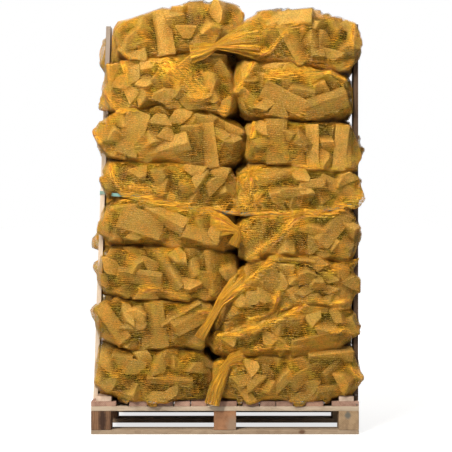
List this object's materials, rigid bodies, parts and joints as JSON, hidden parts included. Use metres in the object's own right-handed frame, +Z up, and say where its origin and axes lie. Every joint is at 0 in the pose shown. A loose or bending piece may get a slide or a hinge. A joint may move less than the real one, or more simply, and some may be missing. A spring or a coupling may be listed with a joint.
{
  "type": "pallet of firewood sacks",
  "caption": "Wooden pallet with corner boards, loaded with stacked orange net sacks of split firewood.",
  "frame": {"origin": "middle of the pallet's underside, on the floor", "axes": "+X to the right along the long side seen from the front, +Y from front to back, +Z up"},
  "size_m": [1.2291, 0.8586, 1.9407],
  "materials": {
    "runner_wood": "matte",
    "stringer_wood": "matte",
    "block_wood_left": "matte",
    "block_wood_middle": "matte",
    "block_wood_right": "matte",
    "deck_wood": "matte",
    "rail_wood": "matte",
    "post_wood_pale": "matte",
    "post_wood_dark": "matte",
    "net": "satin",
    "firewood": "matte",
    "nail_steel": "matte",
    "strap": "satin"
  },
  "bodies": {
    "root": {"runner_front": "runner_wood", "block_front_left": "block_wood_left", "block_front_middle": "block_wood_middle", "block_front_right": "block_wood_right", "stringer_front": "stringer_wood", "runner_centre": "runner_wood", "block_centre_left": "block_wood_left", "block_centre_middle": "block_wood_middle", "block_centre_right": "block_wood_right", "stringer_centre": "stringer_wood", "runner_back": "runner_wood", "block_back_left": "block_wood_left", "block_back_middle": "block_wood_middle", "block_back_right": "block_wood_right", "stringer_back": "stringer_wood", "deck_board_01": "deck_wood", "deck_board_02": "deck_wood", "deck_board_03": "deck_wood", "deck_board_04": "deck_wood", "deck_board_05": "deck_wood", "deck_board_06": "deck_wood", "deck_board_07": "deck_wood", "deck_board_08": "deck_wood", "deck_board_09": "deck_wood", "deck_board_10": "deck_wood", "deck_board_11": "deck_wood", "rail_left": "rail_wood", "rail_right": "rail_wood", "post_front_left": "post_wood_pale", "post_front_right": "post_wood_dark", "post_back_left": "post_wood_pale", "post_back_right": "post_wood_pale", "sack_front_left_1": "net", "sack_front_right_1": "net", "sack_front_left_2": "net", "sack_front_right_2": "net", "sack_front_left_3": "net", "sack_front_right_3": "net", "sack_front_left_4": "net", "sack_front_right_4": "net", "sack_front_left_5": "net", "sack_front_right_5": "net", "sack_front_left_6": "net", "sack_front_right_6": "net", "sack_front_left_7": "net", "sack_front_right_7": "net", "sack_front_left_8": "net", "sack_front_right_8": "net", "sacks_rear_1": "net", "sacks_rear_2": "net", "sacks_rear_3": "net", "sacks_rear_4": "net", "sacks_rear_5": "net", "sacks_rear_6": "net", "sacks_rear_7": "net", "sacks_rear_8": "net", "strap": "strap"}
  },
  "joints": []
}
